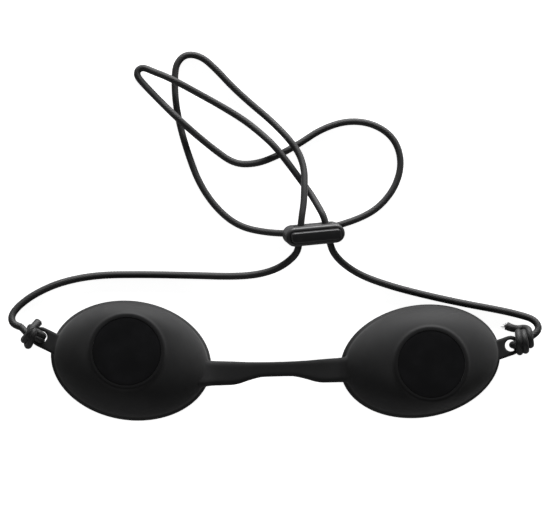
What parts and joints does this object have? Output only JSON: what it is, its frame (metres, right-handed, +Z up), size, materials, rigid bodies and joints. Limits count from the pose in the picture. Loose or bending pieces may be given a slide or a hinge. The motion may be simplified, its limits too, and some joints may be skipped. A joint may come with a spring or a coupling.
{
  "type": "tanning goggles",
  "caption": "Eye guard with two soft oval cups, dark round lenses, a flexible nose strap and an elastic head cord with a cord lock.",
  "frame": {"origin": "on the table under the middle of the strap, as the goggles lie on their rims", "axes": "+X along the strap to the cup on the right of the picture, +Y to the side where the cord lies, +Z up, away from the table and out of the lenses"},
  "size_m": [0.17, 0.1185, 0.0181],
  "materials": {
    "cup_rubber": "soft matte moulded",
    "strap_rubber": "soft matte moulded",
    "lens_dark": "smooth, dark",
    "cord_elastic": "fine round braid",
    "lock_plastic": "satin moulded",
    "plunger_plastic": "satin moulded",
    "spring_steel": "drawn wire"
  },
  "bodies": {
    "bridge": {"nose_bridge": "strap_rubber", "head_cord_left": "cord_elastic", "cord_loop": "cord_elastic", "head_cord_right": "cord_elastic"},
    "left_cup": {"left_eye_cup": "cup_rubber", "left_lens": "lens_dark", "left_knot": "cord_elastic"},
    "right_cup": {"right_eye_cup": "cup_rubber", "right_lens": "lens_dark", "right_knot": "cord_elastic"},
    "lock": {"lock_body": "lock_plastic", "lock_spring": "spring_steel"},
    "plunger": {"lock_plunger": "plunger_plastic"}
  },
  "joints": [
    {"name": "left_fold", "type": "hinge", "parent": "bridge", "child": "left_cup", "pos_m": [-0.014, 0, 0.00335], "axis": [0, 1, 0], "range_deg": [-25, 75], "stiffness_Nm_per_rad": 0.004, "deforming": ["nose_bridge", "head_cord_left"]},
    {"name": "right_fold", "type": "hinge", "parent": "bridge", "child": "right_cup", "pos_m": [0.014, 0, 0.00335], "axis": [0, -1, 0], "range_deg": [-25, 75], "stiffness_Nm_per_rad": 0.004, "deforming": ["nose_bridge", "head_cord_right"]},
    {"name": "lock_slide", "type": "slide", "parent": "bridge", "child": "lock", "axis": [-0.1026, 0.9762, 0.1908], "range_m": [0, 0.003], "deforming": ["head_cord_left", "cord_loop", "head_cord_right"]},
    {"name": "plunger_press", "type": "slide", "parent": "lock", "child": "plunger", "axis": [-0.0199, 0.1898, -0.9816], "range_m": [0, 0.0028], "stiffness_N_per_m": 300, "deforming": ["lock_spring"]}
  ]
}
